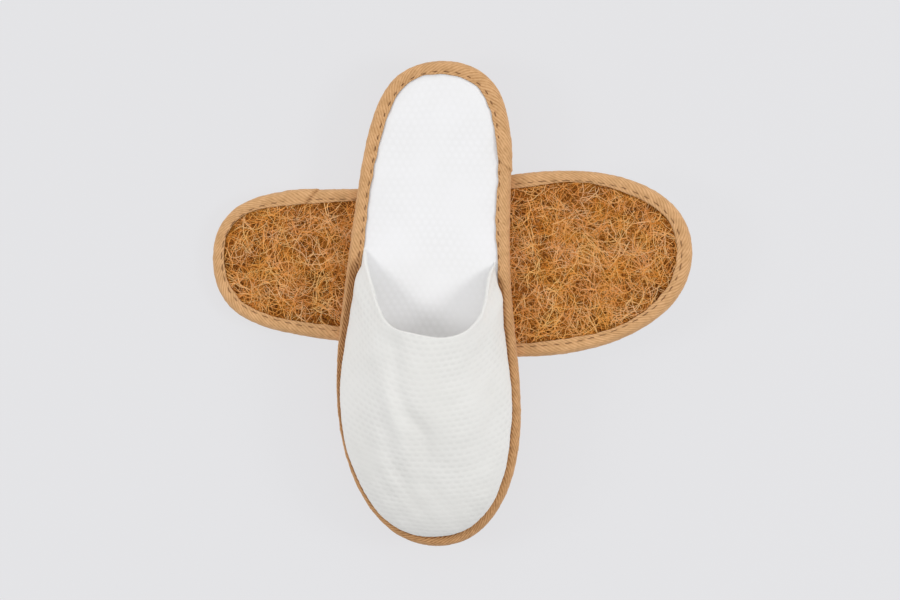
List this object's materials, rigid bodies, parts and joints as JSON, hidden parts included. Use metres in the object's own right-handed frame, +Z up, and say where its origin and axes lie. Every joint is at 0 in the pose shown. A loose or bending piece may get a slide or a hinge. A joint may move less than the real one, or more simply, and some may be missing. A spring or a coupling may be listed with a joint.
{
  "type": "spa slippers",
  "caption": "Closed-toe spa slippers with white waffle uppers and insoles, coir fibre outsoles and tan twill edge binding, one face up across the other.",
  "frame": {"origin": "centre of the pair's bounding box, at floor level", "axes": "+Z up from the floor; +X towards the toe of the left slipper, which lies sole up; -Y towards the toe of the right slipper, which lies face up on it"},
  "size_m": [0.2853, 0.2861, 0.0777],
  "materials": {
    "coir": "needled coir fibre, golden brown, rough, loose curly ends",
    "foam": "closed-cell foam, matt",
    "waffle_insole": "white waffle-weave polyester, pressed, matt",
    "waffle_upper": "white waffle-weave polyester, soft, matt, faint sheen",
    "lining": "white plain tricot, matt",
    "twill_tape": "tan cotton twill tape, diagonal ribs, matt",
    "thread": "brown spun thread"
  },
  "bodies": {
    "left_slipper": {"left_outsole_mat": "coir", "left_midsole": "foam", "left_insole_cushion": "foam", "left_insole_cover": "waffle_insole", "left_binding_tape": "twill_tape", "left_seam_thread": "thread", "left_upper_shell": "waffle_upper", "left_upper_padding": "foam", "left_upper_lining": "lining"},
    "right_slipper": {"right_outsole_mat": "coir", "right_midsole": "foam", "right_insole_cushion": "foam", "right_insole_cover": "waffle_insole", "right_binding_tape": "twill_tape", "right_seam_thread": "thread", "right_upper_shell": "waffle_upper", "right_upper_padding": "foam", "right_upper_lining": "lining"}
  },
  "joints": [
    {"name": "lift_off", "type": "slide", "parent": "left_slipper", "child": "right_slipper", "axis": [0, 0, 1], "range_m": [0, 0.15]}
  ]
}
